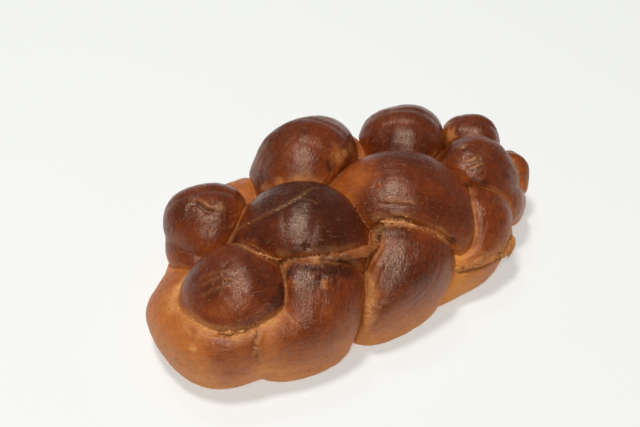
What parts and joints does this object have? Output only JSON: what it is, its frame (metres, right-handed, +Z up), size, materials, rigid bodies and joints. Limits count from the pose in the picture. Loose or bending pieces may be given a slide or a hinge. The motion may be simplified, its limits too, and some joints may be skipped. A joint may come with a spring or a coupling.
{
  "type": "braided loaf",
  "caption": "Whole baked plaited bread loaf with plump strands, dark glossy crust, pale stretched creases and a flat base to rest on.",
  "frame": {"origin": "middle of the loaf's box, on the flat face it rests on", "axes": "+X along the loaf from the folded end to the tucked end, +Y to its left side, +Z up"},
  "size_m": [0.3254, 0.1794, 0.0943],
  "materials": {
    "crust": "satin, egg-washed, dark brown on the lobes and golden tan low on the sides and along the creases"
  },
  "bodies": {
    "root": {"braided_loaf": "crust"}
  },
  "joints": []
}
